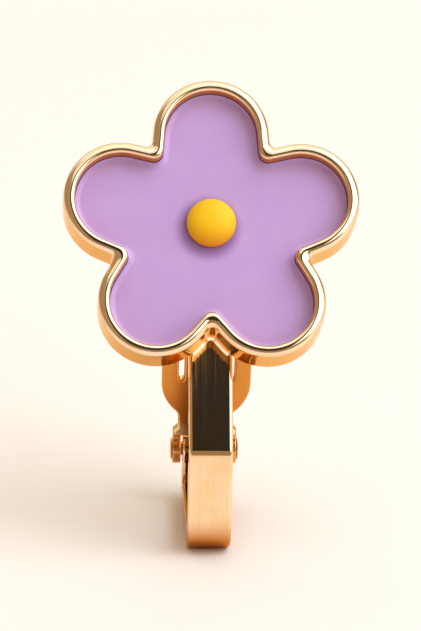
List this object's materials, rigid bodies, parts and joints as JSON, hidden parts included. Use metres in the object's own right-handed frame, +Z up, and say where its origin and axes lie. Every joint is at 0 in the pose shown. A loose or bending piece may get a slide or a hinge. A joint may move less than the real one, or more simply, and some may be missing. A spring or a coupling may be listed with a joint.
{
  "type": "clip on earring",
  "caption": "Enamelled flower clip-on earring: a gilt cup with a raised rim on a bent strap, and a hinged rear paddle that grips the earlobe.",
  "frame": {"origin": "middle of the bounding box's base, level with the flat underside of the strap", "axes": "+Z up from the strap's underside to the top petal, -Y the way the flower faces, +X to the right for someone who looks at the flower"},
  "size_m": [0.0152, 0.0116, 0.0223],
  "materials": {
    "gilt_frame": "polished rose-gold plating",
    "lilac_enamel": "satin poured enamel",
    "yellow_enamel": "satin poured enamel",
    "gilt_paddle": "polished rose-gold plating",
    "gilt_pin": "polished rose-gold plating"
  },
  "bodies": {
    "frame": {"flower_frame": "gilt_frame", "petal_enamel": "lilac_enamel", "centre_dome": "yellow_enamel", "hinge_pin": "gilt_pin"},
    "clip_paddle": {"paddle": "gilt_paddle"}
  },
  "joints": [
    {"name": "paddle_hinge", "type": "hinge", "parent": "frame", "child": "clip_paddle", "pos_m": [0, 0.00222, 0.0027], "axis": [-1, 0, 0], "range_deg": [0, 75]}
  ]
}
